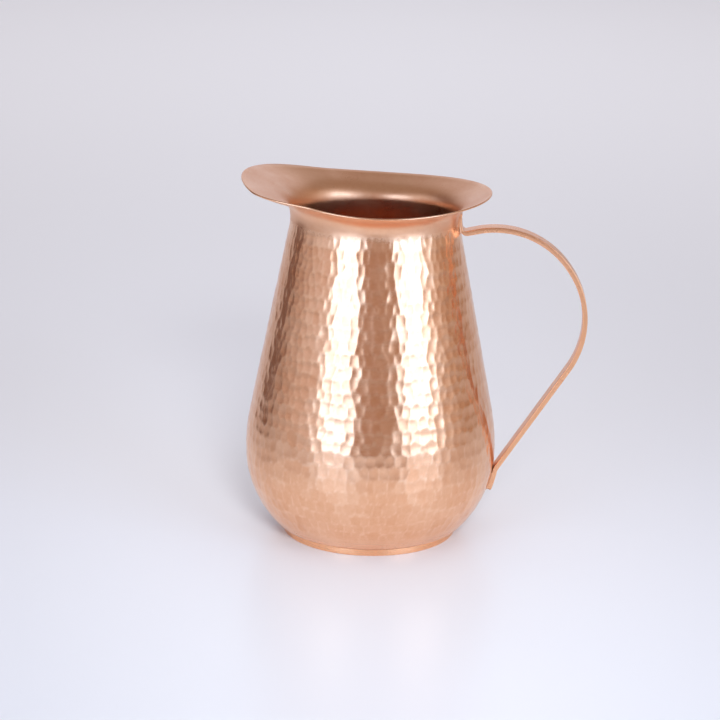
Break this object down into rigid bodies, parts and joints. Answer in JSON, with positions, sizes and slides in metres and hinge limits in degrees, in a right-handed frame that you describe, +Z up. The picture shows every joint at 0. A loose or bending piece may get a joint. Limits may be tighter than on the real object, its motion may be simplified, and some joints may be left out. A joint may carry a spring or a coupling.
{
  "type": "water jug",
  "caption": "Pear-shaped hammered copper water jug with a flared, spouted lip, a low foot ring and a bent flat-bar loop handle.",
  "frame": {"origin": "centre of the foot's lower face, on the vessel's axis, at floor level", "axes": "+Z up along the vessel's axis, +X towards the handle, -X towards the spout, +Y completes the frame"},
  "size_m": [0.2054, 0.15, 0.2168],
  "materials": {
    "hammered_copper": "polished copper with rows of small planished hammer marks on the belly; collar and lip smooth and satin",
    "satin_copper": "smooth satin copper",
    "handle_copper": "smooth brushed copper bar",
    "filler": "satin filler metal, slightly paler than the copper"
  },
  "bodies": {
    "root": {"body_shell": "hammered_copper", "base_plate": "satin_copper", "base_braze": "filler", "foot_ring": "satin_copper", "foot_braze": "filler", "handle": "handle_copper", "upper_braze": "filler", "lower_braze": "filler"}
  },
  "joints": []
}
